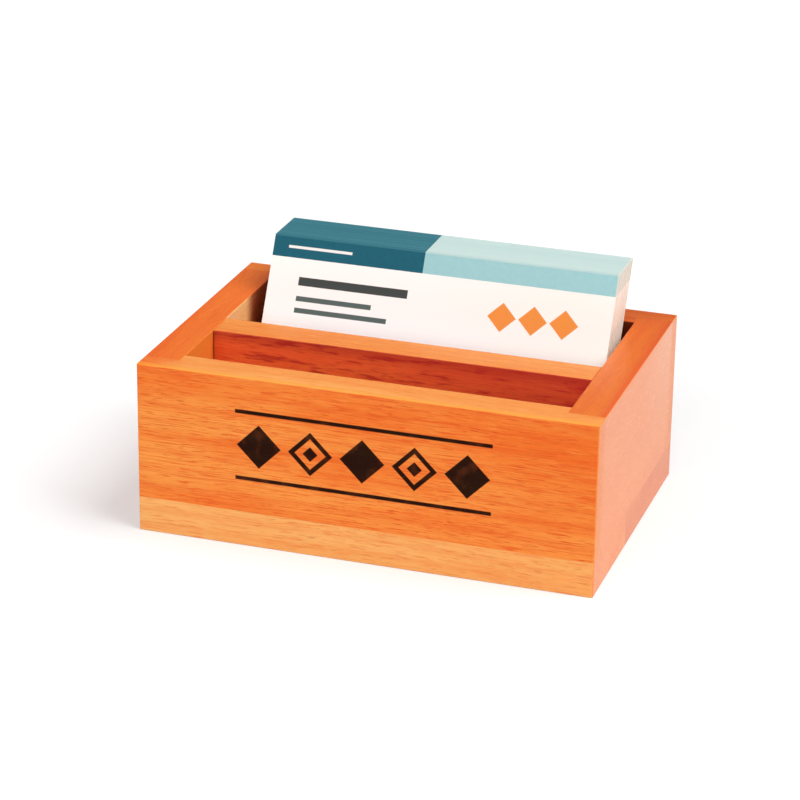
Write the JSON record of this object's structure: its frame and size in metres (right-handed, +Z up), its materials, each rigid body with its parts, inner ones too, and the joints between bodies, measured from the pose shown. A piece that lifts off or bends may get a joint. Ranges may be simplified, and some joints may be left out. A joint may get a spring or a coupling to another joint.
{
  "type": "business card box",
  "caption": "Open timber desk box with rebated corners, a fixed divider, a narrow front pocket and a rear pocket where a pack of business cards leans back against the rim.",
  "frame": {"origin": "on the table, under the middle of the box's footprint", "axes": "+X to the right along the front, +Y to the back, +Z up"},
  "size_m": [0.1146, 0.0776, 0.0581],
  "materials": {
    "wall_timber": "satin lacquer",
    "pale_stave": "satin lacquer",
    "dark_stave": "satin lacquer",
    "card_stock": "uncoated print"
  },
  "bodies": {
    "box": {"front_board": "wall_timber", "back_board": "wall_timber", "left_end_board": "wall_timber", "right_end_board": "wall_timber", "divider": "wall_timber", "base_front_stave": "pale_stave", "base_rear_stave": "dark_stave"},
    "front_card": {"card_01": "card_stock"},
    "card_deck": {"card_02": "card_stock", "card_03": "card_stock", "card_04": "card_stock", "card_05": "card_stock", "card_06": "card_stock", "card_07": "card_stock", "card_08": "card_stock", "card_09": "card_stock", "card_10": "card_stock", "card_11": "card_stock", "card_12": "card_stock", "card_13": "card_stock", "card_14": "card_stock", "card_15": "card_stock", "card_16": "card_stock", "card_17": "card_stock", "card_18": "card_stock", "card_19": "card_stock", "card_20": "card_stock", "card_21": "card_stock", "card_22": "card_stock", "card_23": "card_stock", "card_24": "card_stock", "card_25": "card_stock", "card_26": "card_stock", "card_27": "card_stock", "card_28": "card_stock", "card_29": "card_stock", "card_30": "card_stock", "card_31": "card_stock", "card_32": "card_stock", "card_33": "card_stock", "card_34": "card_stock", "card_35": "card_stock", "card_36": "card_stock", "card_37": "card_stock", "card_38": "card_stock", "card_39": "card_stock", "card_40": "card_stock"}
  },
  "joints": [
    {"name": "front_card_lift", "type": "slide", "parent": "box", "child": "front_card", "axis": [0, 0.46, 0.8879], "range_m": [0, 0.05]},
    {"name": "card_deck_lift", "type": "slide", "parent": "box", "child": "card_deck", "axis": [0, 0.46, 0.8879], "range_m": [0, 0.05]}
  ]
}
